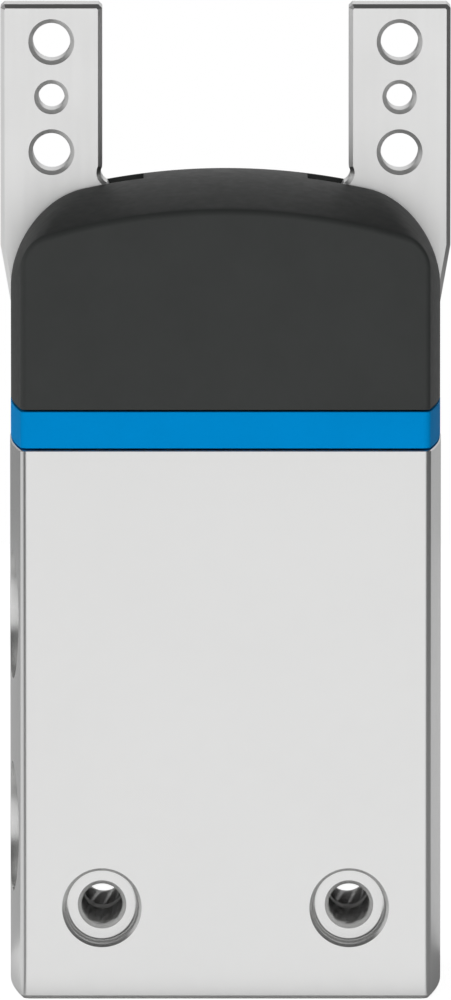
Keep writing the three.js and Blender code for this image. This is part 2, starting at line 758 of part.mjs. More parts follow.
place("rod_seal", rodSeal, sealRubber, body);
place("retaining_ring", makeRetainingRing(), blackSteel, body);

const blockScrew = {
  shank: 1.5,
  head: 2.75,
  height: 3,
  socket: 1.45,
  tip: HOUSING_TOP - 8,
  seat: BLOCK_SCREW.seat + FIT,
};
[[-1, -1], [1, -1], [-1, 1], [1, 1]].forEach(([side, end], i) => {
  const screw = capScrew(blockScrew, side * BLOCK_SCREW.x, end * BLOCK_SCREW.y);
  place("block_screw_" + (i + 1), screw, blackSteel, body);
});

const piston = new THREE.Group();
gripper.add(piston);
place("piston", makePiston(), machinedAluminium, piston);
const [lowerGroove, magnetGroove, upperGroove] = PISTON_GROOVES.map(({ radius, bottom, top }) => ({
  inner: radius + FIT,
  bottom: bottom + FIT,
  top: top - FIT,
}));
const lowerSeal = lipSeal(lowerGroove.inner, SEAL_RADIUS, lowerGroove.top, lowerGroove.bottom);
const upperSeal = lipSeal(upperGroove.inner, SEAL_RADIUS, upperGroove.bottom, upperGroove.top);
const magnetEnds = [magnetGroove.bottom, magnetGroove.top];
const magnet = turnedZ(ringProfile(magnetGroove.inner, MAGNET_RADIUS, ...magnetEnds));
place("piston_seal_lower", lowerSeal, sealRubber, piston);
place("piston_seal_upper", upperSeal, sealRubber, piston);
place("piston_magnet", magnet, magnetBlack, piston);
place("piston_rod", makeRod(), groundSteel, piston);
place("piston_screw", makePistonScrew(), blackSteel, piston);
place("driver", makeDriver(), groundSteel, piston);
const driverScrew = {
  shank: 1.65,
  head: 3.3,
  height: 3.4,
  socket: 1.6,
  tip: 50.5,
  seat: BRIDGE_TOP + FIT,
};
place("driver_screw", capScrew(driverScrew), blackSteel, piston);

for (const [side, name] of [[-1, "left"], [1, "right"]]) {
  const dowel = rodZ(DOWEL.radius, DOWEL.bottom, DOWEL.top, side * DOWEL.x, DOWEL.y);
  place("dowel_" + name, dowel, groundSteel, body);
  const pivot = pinY(PIVOT_PIN_RADIUS, CHEEK_OUTER_Y, side * PIVOT_X, PIVOT_Z);
  place("pivot_pin_" + name, pivot, groundSteel, body);
  const jaw = new THREE.Group();
  gripper.add(jaw);
  place("jaw_" + name, makeJaw(side), jawSteel, jaw);
  place("jaw_bush_" + name, makeBush(side), bronze, jaw);
  const pinHalf = PLATE_OUTER_Y - FIT;
  const drivePin = pinY(DRIVE_PIN_RADIUS, pinHalf, side * DRIVE_PIN_X, DRIVE_PIN_Z);
  place("drive_pin_" + name, drivePin, groundSteel, jaw);
}

export default gripper;
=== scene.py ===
"""Looks of the radial pneumatic gripper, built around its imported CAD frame.

The shapes are worked out in millimetres, in the frame's own axes, and turned into metres as each
mesh is made. -Y is the front, +Z is up towards the jaws.
"""

import json
import math

import bmesh
import bpy
import numpy as np
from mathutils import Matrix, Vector


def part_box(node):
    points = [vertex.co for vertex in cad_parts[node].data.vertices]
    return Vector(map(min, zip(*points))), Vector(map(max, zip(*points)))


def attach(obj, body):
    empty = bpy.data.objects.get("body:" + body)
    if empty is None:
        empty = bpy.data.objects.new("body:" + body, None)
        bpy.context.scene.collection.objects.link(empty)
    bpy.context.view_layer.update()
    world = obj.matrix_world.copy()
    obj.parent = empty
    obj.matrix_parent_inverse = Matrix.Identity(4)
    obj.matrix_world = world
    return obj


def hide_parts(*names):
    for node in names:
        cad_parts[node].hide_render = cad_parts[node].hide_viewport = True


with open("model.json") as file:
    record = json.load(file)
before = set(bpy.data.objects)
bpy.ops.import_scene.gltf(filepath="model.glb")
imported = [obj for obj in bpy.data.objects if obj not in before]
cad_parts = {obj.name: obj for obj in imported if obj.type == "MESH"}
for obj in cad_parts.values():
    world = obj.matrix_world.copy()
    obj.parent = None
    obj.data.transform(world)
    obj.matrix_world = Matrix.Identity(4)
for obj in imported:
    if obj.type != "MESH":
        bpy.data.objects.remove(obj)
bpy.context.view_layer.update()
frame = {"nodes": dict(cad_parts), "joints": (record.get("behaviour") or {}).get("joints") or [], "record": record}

MM = 0.001
# How near, in millimetres, a vertex of a finished mesh lies to the edge or axis it belongs to.
NEAR = 0.01
# How far, in millimetres, a cutting tool reaches past the face it opens: one that chamfers the
# opening, and one that does not.
BEYOND = 0.5
WELL_BEYOND = 1


def corners(node):
    """The lowest and highest corner of a CAD node, in millimetres."""
    low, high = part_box(node)
    return low / MM, high / MM


def joint_point(name):
    found = [joint for joint in frame["joints"] if joint["name"] == name]
    return Vector(found[0]["pos_m"]) / MM


def mount_point(name):
    found = [mount for mount in frame["record"]["mounts"] if mount["name"] == name]
    return Vector(found[0]["pos_m"]) / MM


# ---------------------------------------------------------------- sizes from the frame

housing_low, housing_high = corners("housing")
ring_low, ring_high = corners("accent_ring")
cover_low, cover_high = corners("cover")
jaw_low, jaw_high = corners("jaw_right")
block_high = corners("guide_block")[1]
pivot = joint_point("jaw_right_swing")

HALF_WIDTH = housing_high.x
DEPTH = housing_high.y - housing_low.y
HOUSING_TOP = housing_high.z
RING_INSET = HALF_WIDTH - ring_high.x
MOUNT_Z = mount_point("front_face").z

# ---------------------------------------------------------------- sizes of details

SIDE_RADIUS = 134
EDGE_FILLET = 0.95
BASE_CHAMFER = 0.45
TOP_CHAMFER = 0.12

BORE_RADIUS = 16
BORE_FLOOR = 15.5
SNAP_GROOVE = {"radius": 17, "bottom": 57.9, "top": 59.4}

MOUNT_X = 15
RECESS_RADIUS = 4.5
RECESS_DEPTH = 3.2
RECESS_RIM = 0.33
RECESS_FILLET = 0.55
MOUNT_THREAD = {"core": 2.5, "depth": 0.52, "pitch": 1, "entry": 0.45}
RELIEF = {"radius": 3.8, "from": -1.2, "to": 2.6}

PORT_Y = -10.1
PORT_HEIGHTS = (20, 46)
PORT_FACE_RADIUS = 7.9
PORT_FACE_X = -24
PORT_RIM = 0.22
PORT_FACE_CORNER = 0.15
PORT_THREAD = {"core": 4.36, "depth": 0.5, "pitch": 0.907, "entry": 0.4, "run_in": 0.9}
PORT_THREAD_END_X = -16.8
PORT_CONE = 1.2
PORT_CHANNEL = {"radius": 2.2, "inside_bore": 7}

SENSOR_SLOT = {"x": 22.7, "y": 10, "radius": 2.6, "mouth": 1.5, "flare": 0.3}

BASE_HOLE = {"x": 9, "y": 12, "depth": 10, "recess": 3.5, "recess_depth": 1.6, "rim": 0.2}
BASE_THREAD = {"core": 2.1, "depth": 0.42, "pitch": 0.8, "entry": 0.2, "run_in": 0.6}
BASE_DRILL_TIP = 1.2

BLOCK_SCREW = {"x": 18.5, "y": 13.2, "radius": 1.65, "depth": 8.5}
DOWEL_HOLE = {"x": 19.5, "y": -5, "radius": 1.6, "depth": 4.95}

RING_EDGE = 0.12
RING_OPENING = {"gap": 0.3, "corner": 2.3}

COVER_TOP_RADIUS = 80
COVER_CROWN_RADIUS = 60
SHOULDER = {"middle": 9, "ends": 2.6, "sharpest": 0.3}
COVER_WALL = 1.6
COVER_FILLET = 0.65
COVER_INNER_FILLET = 0.4
COVER_LOWER_EDGE = 0.12
SLOT_INNER_X = 10
SLOT_HALF_WIDTH = 3.6
SLOT_EDGE = 0.2

JAW_CHAMFER = 0.5
JAW_CORNER = 0.45
TAPER_START_Z = 90.4
TAPER_END = (26.02, 82.6)
HUB_RADIUS = 11.3
HUB_ARC = (91, 320)
JAW_INNER_X = 15.03
NOTCH = {"x": 13.9, "z": 99.2, "radius": 1.32}
LIP = (14.45, 98.0)
FINGER_HOLE_X = 21.19
FINGER_HOLE_MID_Z = 108.45
FINGER_HOLE_PITCH = 6.72
FINGER_HOLE_RADIUS = 2.3
FINGER_PIN_HOLE_RADIUS = 1.6
BUSH_HOLE = {"radius": 4.35, "sink": 0.2}
DRIVE_PIN_HOLE = {"radius": 2.05, "sink": 0.15}


# ---------------------------------------------------------------- mesh helpers

def new_piece(name, points, faces):
    """An object from points in millimetres, with its faces turned outwards."""
    mesh = bpy.data.meshes.new(name)
    mesh.from_pydata([tuple(float(c) * MM for c in point) for point in points], [], faces)
    work = bmesh.new()
    work.from_mesh(mesh)
    bmesh.ops.remove_doubles(work, verts=work.verts, dist=1e-7)
    bmesh.ops.recalc_face_normals(work, faces=work.faces)
    work.to_mesh(mesh)
    work.free()
    piece = bpy.data.objects.new(name, mesh)
    bpy.context.scene.collection.objects.link(piece)
    return piece


def apply_modifiers(piece):
    depsgraph = bpy.context.evaluated_depsgraph_get()
    mesh = bpy.data.meshes.new_from_object(piece.evaluated_get(depsgraph))
    piece.modifiers.clear()
    piece.data = mesh


def carve(piece, *tools):
    """Cuts each tool out of the piece and removes the tools."""
    for tool in tools:
        modifier = piece.modifiers.new("carve", "BOOLEAN")
        modifier.operation = "DIFFERENCE"
        modifier.solver = "MANIFOLD"
        modifier.object = tool
    apply_modifiers(piece)
    for tool in tools:
        bpy.data.objects.remove(tool)


def bevel_edges(piece, width, chosen):
    """Bevels the sharp edges whose two ends, in millimetres, are both chosen."""
    work = bmesh.new()
    work.from_mesh(piece.data)
    sharp = [
        edge for edge in work.edges
        if len(edge.link_faces) == 2 and edge.calc_face_angle() > math.radians(30)
        and all(chosen(*(vert.co / MM)) for vert in edge.verts)
    ]
    bmesh.ops.bevel(
        work, geom=sharp, offset=width * MM, offset_type="OFFSET", segments=2, profile=0.5,
        affect="EDGES", clamp_overlap=True,
    )
    work.to_mesh(piece.data)
    work.free()


def shade(piece, angle=28):
    """Smooth shading that breaks at edges sharper than the angle, weighted by face area."""
    work = bmesh.new()
    work.from_mesh(piece.data)
    for face in work.faces:
        face.smooth = True
    for edge in work.edges:
        edge.smooth = len(edge.link_faces) == 2 and edge.calc_face_angle() < math.radians(angle)
    work.to_mesh(piece.data)
    work.free()
    modifier = piece.modifiers.new("normals", "WEIGHTED_NORMAL")
    modifier.keep_sharp = True
    modifier.weight = 100
    apply_modifiers(piece)


def arc(x, y, radius, start, end, steps):
    """Points on an arc from one angle to another, both in radians and both included."""
    angles = np.linspace(start, end, steps + 1)
    return [(x + radius * math.cos(a), y + radius * math.sin(a)) for a in angles]


def stacked(name, rings):
    """A closed mesh through rings of equally many points; the first and last ring are capped."""
    count = len(rings[0])
    points = [point for ring in rings for point in ring]
    faces = [list(range(count))[::-1], [(len(rings) - 1) * count + i for i in range(count)]]
    for level in range(len(rings) - 1):
        base = level * count
        for i in range(count):
            j = (i + 1) % count
            faces.append([base + i, base + j, base + count + j, base + count + i])
    return new_piece(name, points, faces)


def inset_outline(outline, inset):
    """The closed outline moved inwards by the inset, with mitred corners."""
    points = [Vector(point) for point in outline]
    turn = sum(a.cross(b) for a, b in zip(points, points[1:] + points[:1]))
    inwards = 1 if turn > 0 else -1
    moved = []
    for i, point in enumerate(points):
        before = (point - points[i - 1]).normalized()
        after = (points[(i + 1) % len(points)] - point).normalized()
        normal = Vector((-before.y - after.y, before.x + after.x)).normalized()
        reach = normal.dot(Vector((-before.y, before.x)))
        moved.append(point + normal * inwards * inset / reach)
    return moved


def plate_y(name, outline, low, high, edge):
    """A plate along Y, chamfered all round both faces."""
    inner = inset_outline(outline, edge)
    levels = [(inner, low), (outline, low + edge), (outline, high - edge), (inner, high)]
    return stacked(name, [[(x, y, z) for x, z in points] for points, y in levels])


def prism_z(name, outline, low, high):
    return stacked(name, [[(x, y, z) for x, y in outline] for z in (low, high)])


def block(name, low, high):
    outline = [(low[0], low[1]), (high[0], low[1]), (high[0], high[1]), (low[0], high[1])]
    return prism_z(name, outline, low[2], high[2])


def along(axis, centre, radius, angle, height):
    """A point at a radius and angle about an axis through the centre, at a height along it."""
    across = radius * math.cos(angle)
    up = radius * math.sin(angle)
    if axis == "X":
        return (height, centre[0] + across, centre[1] + up)
    if axis == "Y":
        return (centre[0] + across, height, centre[1] + up)
    return (centre[0] + across, centre[1] + up, height)


def ridge(turn):
    """The height of a thread's ridge, from 0 to 1, at a place given in turns."""
    wave = abs(2 * (turn % 1) - 1)
    flat = 0.125
    return min(1, max(0, (1 + 2 * flat) * wave - flat))


def threaded(thread, start, end, stations_per_turn=10):
    """A threaded stretch's stations, (radius, height, swing, pitch), fading out at both ends."""
    pitch = thread["pitch"]
    count = max(2, round(abs(end - start) / pitch * stations_per_turn))
    stations = []
    for i in range(count + 1):
        height = start + (end - start) * i / count
        fade = min(1, abs(height - start) / pitch, abs(end - height) / pitch)
        stations.append((thread["core"], height, thread["depth"] * fade, pitch))
    return stations


def revolved(name, stations, axis, centre, segments=72):
    """A closed turned solid through stations of (radius, height) or of a threaded stretch."""
    points = []
    rows = []
    for station in stations:
        radius, height = station[:2]
        swing, pitch = station[2:] if len(station) > 2 else (0, 1)
        row = []
        for i in range(segments if radius > 0 else 1):
            turn = i / segments
            grown = radius + (swing * ridge(height / pitch - turn) if swing else 0)
            row.append(len(points))
            points.append(along(axis, centre, grown, 2 * math.pi * turn, height))
        rows.append(row)
    faces = []
    for below, above in zip(rows, rows[1:]):
        for i in range(segments):
            j = (i + 1) % segments
            quad = [below[i % len(below)], below[j % len(below)]]
            quad += [above[j % len(above)], above[i % len(above)]]
            faces.append(list(dict.fromkeys(quad)))
    return new_piece(name, points, [face for face in faces if len(face) > 2])


# ---------------------------------------------------------------- material helpers

class Nodes:
    """A material's node tree around one Principled shader."""

    def __init__(self, name, **inputs):
        self.material = bpy.data.materials.new(name)
        self.material.use_nodes = True
        self.tree = self.material.node_tree
        self.shader = self.tree.nodes["Principled BSDF"]
        for key, value in inputs.items():
            self.shader.inputs[key.replace("_", " ")].default_value = value
        self.coordinates = self.add("ShaderNodeTexCoord").outputs["Object"]

    def add(self, kind, **values):
        node = self.tree.nodes.new(kind)
        for key, value in values.items():
            setattr(node, key, value)
        return node

    def link(self, source, target):
        self.tree.links.new(source, target)

    def noise(self, scale, detail=2, stretch=(1, 1, 1)):
        """A noise value; the scale is in cycles a metre, and the stretch scales each axis."""
        mapping = self.add("ShaderNodeMapping")
        mapping.inputs["Scale"].default_value = stretch
        self.link(self.coordinates, mapping.inputs["Vector"])
        texture = self.add("ShaderNodeTexNoise")
        texture.inputs["Scale"].default_value = scale
        texture.inputs["Detail"].default_value = detail
        self.link(mapping.outputs["Vector"], texture.inputs["Vector"])
        return texture.outputs["Fac"]

    def ranged(self, value, low, high):
        node = self.add("ShaderNodeMapRange")
        node.inputs["From Min"].default_value = 0.3
        node.inputs["From Max"].default_value = 0.7
        node.inputs["To Min"].default_value = low
        node.inputs["To Max"].default_value = high
        self.link(value, node.inputs["Value"])
        return node.outputs["Result"]

    def vary_colour(self, value, dark, light):
        node = self.add("ShaderNodeMix", data_type="RGBA")
        node.inputs["A"].default_value = (*dark, 1)
        node.inputs["B"].default_value = (*light, 1)
        self.link(self.ranged(value, 0, 1), node.inputs["Factor"])
        self.link(node.outputs["Result"], self.shader.inputs["Base Color"])

    def vary_roughness(self, value, low, high):
        self.link(self.ranged(value, low, high), self.shader.inputs["Roughness"])

    def bump(self, *layers):
        """Adds bump layers, each (height value, strength, distance in millimetres)."""
        normal = None
        for value, strength, distance in layers:
            node = self.add("ShaderNodeBump")
            node.inputs["Strength"].default_value = strength
            node.inputs["Distance"].default_value = distance * MM
            self.link(value, node.inputs["Height"])
            if normal:
                self.link(normal, node.inputs["Normal"])
            normal = node.outputs["Normal"]
        self.link(normal, self.shader.inputs["Normal"])


def tinted(colour, factor):
    return tuple(min(1, channel * factor) for channel in colour)


def anodised_aluminium():
    nodes = Nodes("anodised_aluminium", Metallic=1.0)
    colour = (0.78, 0.78, 0.775)
    nodes.vary_colour(nodes.noise(60, 2), tinted(colour, 0.995), tinted(colour, 1.005))
    nodes.vary_roughness(nodes.noise(500, 3), 0.25, 0.27)
    blasted = nodes.noise(5200, 2)
    drawn = nodes.noise(900, 2, stretch=(1, 1, 0.02))
    nodes.bump((blasted, 0.04, 0.02), (drawn, 0.015, 0.02))
    return nodes.material


def jaw_steel():
    nodes = Nodes("jaw_steel", Metallic=1.0)
    colour = (0.84, 0.84, 0.835)
    nodes.vary_colour(nodes.noise(120, 3), tinted(colour, 0.98), tinted(colour, 1.02))
    ground = nodes.noise(2600, 3, stretch=(1, 1, 0.03))
    nodes.vary_roughness(ground, 0.33, 0.36)
    nodes.bump((ground, 0.025, 0.01), (nodes.noise(4000, 2), 0.03, 0.01))
    return nodes.material


def cover_plastic():
    nodes = Nodes("cover_plastic", Specular_IOR_Level=0.2)
    colour = (0.0565, 0.06, 0.0585)
    nodes.vary_colour(nodes.noise(160, 3), tinted(colour, 0.96), tinted(colour, 1.04))
    nodes.vary_roughness(nodes.noise(900, 3), 0.5, 0.58)
    nodes.bump((nodes.noise(4200, 3), 0.22, 0.03))
    return nodes.material


def ring_plastic():
    nodes = Nodes("ring_plastic", Specular_IOR_Level=0.005)
    colour = (0.0, 0.385, 0.96)
    nodes.vary_colour(nodes.noise(160, 3), tinted(colour, 0.98), tinted(colour, 1.02))
    nodes.vary_roughness(nodes.noise(900, 3), 0.48, 0.55)
    nodes.bump((nodes.noise(4200, 2), 0.1, 0.02))
    return nodes.material


def machined_aluminium():
    nodes = Nodes("machined_aluminium", Metallic=1.0)
    colour = (0.6, 0.61, 0.62)
    nodes.vary_colour(nodes.noise(150, 3), tinted(colour, 0.95), tinted(colour, 1.05))
    milled = nodes.noise(1500, 2, stretch=(1, 0.05, 1))
    nodes.vary_roughness(milled, 0.3, 0.42)
    nodes.bump((milled, 0.15, 0.02))
    return nodes.material


def ground_steel():
    nodes = Nodes("ground_steel", Metallic=1.0)
    colour = (0.56, 0.57, 0.58)
    nodes.vary_colour(nodes.noise(200, 2), tinted(colour, 0.96), tinted(colour, 1.04))
    ground = nodes.noise(3000, 2, stretch=(1, 0.1, 1))
    nodes.vary_roughness(ground, 0.18, 0.28)
    nodes.bump((ground, 0.05, 0.01))
    return nodes.material


def black_steel():
    nodes = Nodes("black_steel", Metallic=0.7)
    colour = (0.03, 0.03, 0.032)
    nodes.vary_colour(nodes.noise(600, 3), tinted(colour, 0.8), tinted(colour, 1.3))
    nodes.vary_roughness(nodes.noise(900, 2), 0.38, 0.5)
    nodes.bump((nodes.noise(3500, 2), 0.08, 0.01))
    return nodes.material


def seal_rubber():
    nodes = Nodes("seal_rubber", Specular_IOR_Level=0.4)
    colour = (0.012, 0.012, 0.013)
    nodes.vary_colour(nodes.noise(700, 2), tinted(colour, 0.8), tinted(colour, 1.3))
    nodes.vary_roughness(nodes.noise(900, 2), 0.6, 0.75)
    nodes.bump((nodes.noise(3000, 2), 0.1, 0.01))
    return nodes.material


def bronze():
    nodes = Nodes("bronze", Metallic=1.0)
    colour = (0.42, 0.24, 0.09)
    nodes.vary_colour(nodes.noise(900, 4), tinted(colour, 0.85), tinted(colour, 1.1))
    nodes.vary_roughness(nodes.noise(1200, 3), 0.35, 0.5)
    nodes.bump((nodes.noise(5000, 3), 0.2, 0.02))
    return nodes.material


def magnet_black():
    nodes = Nodes("magnet_black", Specular_IOR_Level=0.4)
    colour = (0.045, 0.046, 0.05)
    nodes.vary_colour(nodes.noise(500, 3), tinted(colour, 0.85), tinted(colour, 1.2))
    nodes.vary_roughness(nodes.noise(900, 2), 0.5, 0.65)
    nodes.bump((nodes.noise(4000, 2), 0.1, 0.01))
    return nodes.material


MATERIALS = {
    make.__name__: make()
    for make in (
        anodised_aluminium, jaw_steel, cover_plastic, ring_plastic, machined_aluminium,
        ground_steel, black_steel, seal_rubber, bronze, magnet_black,
    )
}


node_slots = {row["node"]: row["material_slot"] for row in frame["record"]["subparts"]}


def finish_piece(piece, body, slot, *nodes):
    """Gives a new piece its material, the body it moves with and the CAD nodes it stands for."""
    piece.data.materials.clear()
    piece.data.materials.append(MATERIALS[slot])
    shade(piece)
    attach(piece, body)
    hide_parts(*nodes)


# ---------------------------------------------------------------- housing

def plan_outline(inset=0.0, fillet_steps=8, side_steps=28):
    """The housing's plan: flat front and back, bulged sides and filleted edges."""
    half_depth = DEPTH / 2 - inset
    radius = SIDE_RADIUS - inset
    centre_x = SIDE_RADIUS - HALF_WIDTH
    fillet_y = half_depth - EDGE_FILLET
    reach = math.sqrt((radius - EDGE_FILLET) ** 2 - fillet_y ** 2)
    fillet_x = reach - centre_x
    angle = math.atan2(fillet_y, reach)
    quarter = math.pi / 2
    right = arc(fillet_x, -fillet_y, EDGE_FILLET, -quarter, -angle, fillet_steps)
    right += arc(-centre_x, 0, radius, -angle, angle, side_steps)[1:-1]
    right += arc(fillet_x, fillet_y, EDGE_FILLET, angle, quarter, fillet_steps)
    return right + [(-x, -y) for x, y in right]


def cross_hole_stations():
    """The front-to-back hole: a recess at each end and a thread on both sides of a relief."""
    face = DEPTH / 2
    floor = face - RECESS_DEPTH
    thread = MOUNT_THREAD
    entry = thread["entry"]
    corner = RECESS_RADIUS - RECESS_FILLET
    turned_corner = arc(corner, -floor - RECESS_FILLET, RECESS_FILLET, 0, math.pi / 2, 6)
    near_end = [
        (0, -face - BEYOND),
        (RECESS_RADIUS + RECESS_RIM + BEYOND, -face - BEYOND),
        (RECESS_RADIUS, -face + RECESS_RIM),
        *turned_corner,
        (thread["core"] + entry, -floor),
    ]
    first = threaded(thread, -floor + entry, RELIEF["from"])
    second = threaded(thread, RELIEF["to"], floor - entry)
    groove = [(RELIEF["radius"], RELIEF["from"]), (RELIEF["radius"], RELIEF["to"])]
    far_end = [(radius, -height) for radius, height in reversed(near_end)]
    return near_end + first + groove + second + far_end


def port_tool(z):
    """An air port: a spot face, a threaded hole and a narrow channel into the cylinder."""
    thread = PORT_THREAD
    entry = thread["core"] + thread["depth"] + thread["entry"]
    outside = -HALF_WIDTH - WELL_BEYOND
    channel = PORT_CHANNEL["radius"]
    channel_end = -BORE_RADIUS + PORT_CHANNEL["inside_bore"]
    stations = [
        (0, outside),
        (PORT_FACE_RADIUS, outside),
        (PORT_FACE_RADIUS, PORT_FACE_X - PORT_FACE_CORNER),
        (PORT_FACE_RADIUS - PORT_FACE_CORNER, PORT_FACE_X),
        (entry, PORT_FACE_X),
        *threaded(thread, PORT_FACE_X + thread["run_in"], PORT_THREAD_END_X),
        (channel, PORT_THREAD_END_X + PORT_CONE),
        (channel, channel_end),
        (0, channel_end),
    ]
    return revolved("port_tool", stations, "X", (PORT_Y, z), 96)


def on_port_rim(x, y, z, port_z):
    """Whether a point is on the edge between a port's spot face and the housing's side."""
    from_axis = math.hypot(y - PORT_Y, z - port_z)
    outside_spot_face = x < PORT_FACE_X - 0.5
    return outside_spot_face and abs(from_axis - PORT_FACE_RADIUS) < 2 * NEAR


def sensor_slot_tool(side):
    """A round slot with a narrow flared mouth, the full height of the housing's side."""
    slot = SENSOR_SLOT
    start = math.asin(slot["mouth"] / slot["radius"])
    round_part = arc(0, 0, slot["radius"], start, 2 * math.pi - start, 40)
    outside = HALF_WIDTH + WELL_BEYOND - slot["x"]
    side_x = math.sqrt(SIDE_RADIUS ** 2 - slot["y"] ** 2) - (SIDE_RADIUS - HALF_WIDTH)
    surface = side_x - slot["x"]
    flared = slot["mouth"] + slot["flare"] + (outside - surface)
    mouth = [
        (surface - slot["flare"], -slot["mouth"]),
        (outside, -flared),
        (outside, flared),
        (surface - slot["flare"], slot["mouth"]),
    ]
    outline = [(side * (slot["x"] + x), slot["y"] + y) for x, y in round_part + mouth]
    return prism_z("sensor_slot_tool", outline, -WELL_BEYOND, HOUSING_TOP + WELL_BEYOND)


def base_hole_tool(x, y):
    """A threaded blind hole in the underside, with a shallow recess round its mouth."""
    hole = BASE_HOLE
    thread = BASE_THREAD
    stations = [
        (0, -BEYOND),
        (hole["recess"] + hole["rim"] + BEYOND, -BEYOND),
        (hole["recess"], hole["rim"]),
        (hole["recess"], hole["recess_depth"]),
        (thread["core"] + thread["depth"] + thread["entry"], hole["recess_depth"]),
        *threaded(thread, hole["recess_depth"] + thread["run_in"], hole["depth"]),
        (0, hole["depth"] + BASE_DRILL_TIP),
    ]
    return revolved("base_hole_tool", stations, "Z", (x, y), 60)


def plain_hole_tool(x, y, radius, low, high, segments=40):
    stations = [(0, low), (radius, low), (radius, high), (0, high)]
    return revolved("hole_tool", stations, "Z", (x, y), segments)


def bore_tool(above):
    """The cylinder, open at the top, with the retaining ring's groove."""
    groove = SNAP_GROOVE
    stations = [
        (0, BORE_FLOOR),
        (BORE_RADIUS, BORE_FLOOR),
        (BORE_RADIUS, groove["bottom"]),
        (groove["radius"], groove["bottom"]),
        (groove["radius"], groove["top"]),
        (BORE_RADIUS, groove["top"]),
        (BORE_RADIUS, above),
        (0, above),
    ]
    return revolved("bore_tool", stations, "Z", (0, 0), 128)


def make_housing():
    levels = [
        (BASE_CHAMFER, 0),
        (0, BASE_CHAMFER),
        (0, HOUSING_TOP - TOP_CHAMFER),
        (TOP_CHAMFER, HOUSING_TOP),
    ]
    rings = [[(x, y, z) for x, y in plan_outline(inset)] for inset, z in levels]
    housing = stacked("housing_body", rings)
    above = HOUSING_TOP + WELL_BEYOND
    tools = [bore_tool(above)]
    for z in PORT_HEIGHTS:
        tools.append(port_tool(z))
    for side in (-1, 1):
        cross_hole = cross_hole_stations()
        tools.append(revolved("cross_tool", cross_hole, "Y", (side * MOUNT_X, MOUNT_Z), 72))
        tools.append(sensor_slot_tool(side))
        low = HOUSING_TOP - DOWEL_HOLE["depth"]
        dowel = (side * DOWEL_HOLE["x"], DOWEL_HOLE["y"], DOWEL_HOLE["radius"])
        tools.append(plain_hole_tool(*dowel, low, above))
        for end in (-1, 1):
            low = HOUSING_TOP - BLOCK_SCREW["depth"]
            screw = (side * BLOCK_SCREW["x"], end * BLOCK_SCREW["y"], BLOCK_SCREW["radius"])
            tools.append(plain_hole_tool(*screw, low, above))
            tools.append(base_hole_tool(side * BASE_HOLE["x"], end * BASE_HOLE["y"]))
    carve(housing, *tools)
    for port_z in PORT_HEIGHTS:
        bevel_edges(housing, PORT_RIM, lambda x, y, z, port_z=port_z: on_port_rim(x, y, z, port_z))
    finish_piece(housing, "housing", "anodised_aluminium", "housing")


# ---------------------------------------------------------------- ring and cover

def rounded_rectangle(half_x, half_y, radius, steps=8):
    quarter = math.pi / 2
    corner_x = half_x - radius
    corner_y = half_y - radius
    right = arc(corner_x, -corner_y, radius, -quarter, 0, steps)
    right += arc(corner_x, corner_y, radius, 0, quarter, steps)
    return right + [(-x, -y) for x, y in right]


def make_ring():
    rounding = 0.3 * RING_EDGE
    levels = [
        (RING_INSET + RING_EDGE, ring_low.z),
        (RING_INSET + rounding, ring_low.z + rounding),
        (RING_INSET, ring_low.z + RING_EDGE),
        (RING_INSET, ring_high.z - RING_EDGE),
        (RING_INSET + rounding, ring_high.z - rounding),
        (RING_INSET + RING_EDGE, ring_high.z),
    ]
    rings = [[(x, y, z) for x, y in plan_outline(inset)] for inset, z in levels]
    ring = stacked("accent_band", rings)
    gap = RING_OPENING["gap"]
    outline = rounded_rectangle(block_high.x + gap, block_high.y + gap, RING_OPENING["corner"])
    below = ring_low.z - WELL_BEYOND
    above = ring_high.z + WELL_BEYOND
    carve(ring, prism_z("ring_tool", outline, below, above))
    finish_piece(ring, "housing", "ring_plastic", "accent_ring")


def cover_limit(x, y, z, inset):
    """Negative inside the cover's section at y, moved in by inset, and positive outside it.

    The side and the domed top meet in a round shoulder, widest halfway between front and back.
    """
    across = np.abs(x)
    radius = SIDE_RADIUS - RING_INSET
    side = across - (np.sqrt(radius ** 2 - y ** 2) - (SIDE_RADIUS - HALF_WIDTH) - inset)
    top_radius = COVER_TOP_RADIUS - y ** 2 / (2 * COVER_CROWN_RADIUS) - inset
    dome = np.hypot(across, z - (cover_high.z - COVER_TOP_RADIUS)) - top_radius
    towards_end = (y / (DEPTH / 2 - RING_INSET)) ** 2
    shoulder = SHOULDER["middle"] + (SHOULDER["ends"] - SHOULDER["middle"]) * towards_end
    corner = np.maximum(shoulder - inset, SHOULDER["sharpest"])
    rounded = np.hypot(np.maximum(side + corner, 0), np.maximum(dome + corner, 0))
    return np.minimum(np.maximum(side, dome), -corner) + rounded


def cover_sections(wall, fillet, fillet_count=8, middle_count=49):
    """The y of each section from front to back, and its inset, which grows in the end fillets."""
    half_depth = DEPTH / 2 - RING_INSET - wall
    turn = np.linspace(0, math.pi / 2, fillet_count)
    end_y = half_depth - fillet + fillet * np.sin(turn)
    end_inset = fillet * (1 - np.cos(turn))
    middle_y = np.linspace(-(half_depth - fillet), half_depth - fillet, middle_count)
    sections = list(zip(-end_y[::-1], end_inset[::-1])) + [(y, 0) for y in middle_y[1:-1]]
    sections += list(zip(end_y, end_inset))
    y = np.array([section[0] for section in sections])[:, None]
    inset = np.array([section[1] for section in sections])[:, None] + wall
    return y, inset


